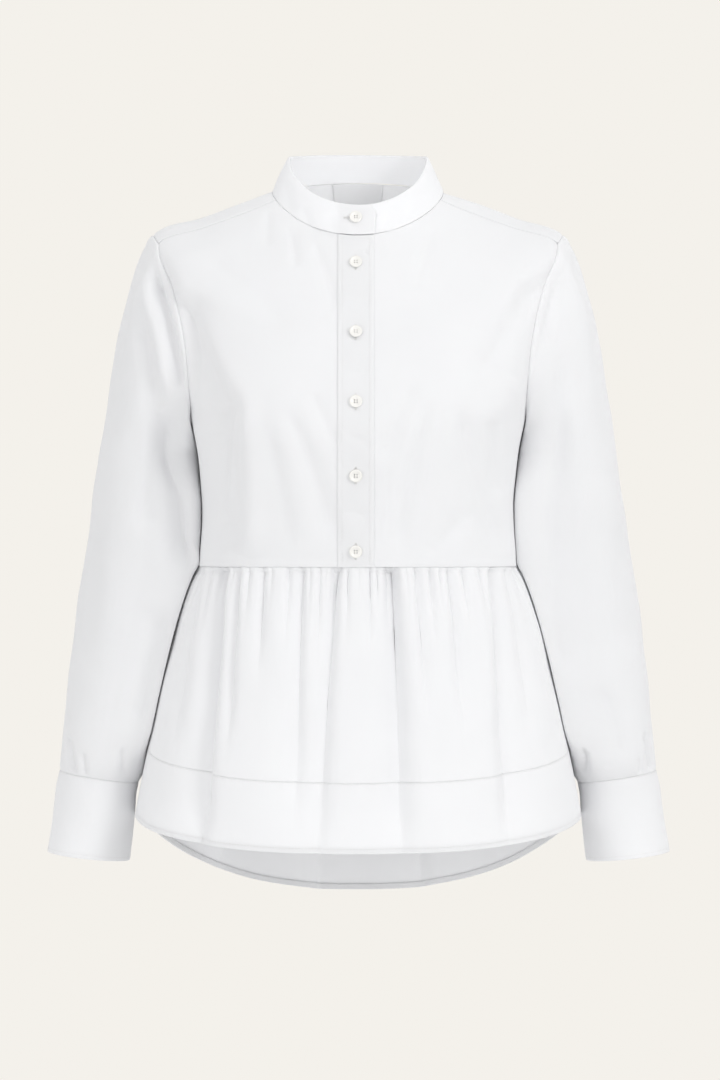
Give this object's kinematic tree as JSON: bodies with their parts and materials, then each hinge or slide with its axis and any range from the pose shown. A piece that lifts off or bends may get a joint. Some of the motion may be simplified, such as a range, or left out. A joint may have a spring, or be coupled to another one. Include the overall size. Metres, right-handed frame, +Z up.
{
  "type": "stand-collar blouse",
  "caption": "Hollow worn-form white cotton blouse with a stand collar, buttoned placket, set-in sleeves with barrel cuffs and a gathered peplum.",
  "frame": {"origin": "middle of the neck base, level with the points where the shoulders meet the neck, where the wearer's shoulders carry it", "axes": "+Z up, +X towards the wearer's left, -Y the front"},
  "size_m": [0.602, 0.2854, 0.7244],
  "materials": {
    "cotton": "smooth white cotton poplin",
    "button": "off-white polished resin"
  },
  "bodies": {
    "root": {"front_left": "cotton", "front_right": "cotton", "placket": "cotton", "yoke": "cotton", "back": "cotton", "collar": "cotton", "neck_patch": "cotton", "sleeve_left": "cotton", "sleeve_right": "cotton", "cuff_left": "cotton", "cuff_right": "cotton", "peplum_front": "cotton", "peplum_back": "cotton", "hem_band_front": "cotton", "hem_band_back": "cotton", "button_1": "button", "button_2": "button", "button_3": "button", "button_4": "button", "button_5": "button", "button_6": "button", "cuff_button_left": "button", "cuff_button_right": "button"}
  },
  "joints": []
}
